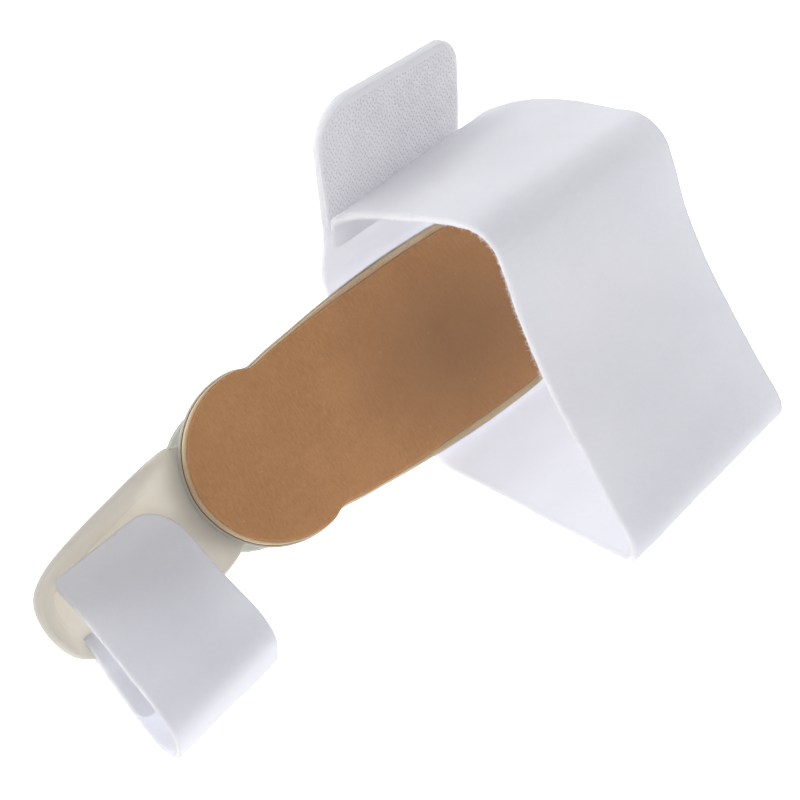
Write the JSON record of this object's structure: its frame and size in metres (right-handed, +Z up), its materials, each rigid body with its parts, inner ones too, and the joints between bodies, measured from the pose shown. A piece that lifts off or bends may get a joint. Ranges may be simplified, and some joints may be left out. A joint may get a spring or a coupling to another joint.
{
  "type": "bunion corrector",
  "caption": "Hinged splint for a big toe: padded midfoot plate with a wide closed strap, a moulded toe gutter on a flat hinge, and a small closed toe strap.",
  "frame": {"origin": "on the hinge axis at the flat underside of the hinge cap, on the surface that the splint lies on", "axes": "+X towards the midfoot end of the pad, toe end at -X; +Z up, the way the pad faces; the hook tab of the midfoot strap stands on the +Y side"},
  "size_m": [0.1624, 0.1242, 0.087],
  "materials": {
    "hinge_plastic": "greyish translucent moulded plastic, satin",
    "splint_plastic": "cream translucent moulded plastic, soft satin",
    "plate_plastic": "thin milky clear sheet plastic",
    "foam": "cream closed-cell foam, matt cut edge",
    "suede": "brown suede-like nap, matt",
    "fleece": "white loop fleece, soft and matt",
    "hook_tape": "white hook tape with rows of tiny hooks"
  },
  "bodies": {
    "splint": {"hinge_cap": "hinge_plastic", "midfoot_plate": "plate_plastic", "pad_foam": "foam", "pad_cover": "suede", "midfoot_strap": "fleece", "midfoot_hooks": "hook_tape"},
    "toe": {"toe_splint": "splint_plastic", "toe_strap": "fleece", "toe_hooks": "hook_tape"}
  },
  "joints": [
    {"name": "toe_hinge", "type": "hinge", "parent": "splint", "child": "toe", "pos_m": [0, 0, 0.0033], "axis": [0, 0, 1], "range_deg": [-30, 30]}
  ]
}
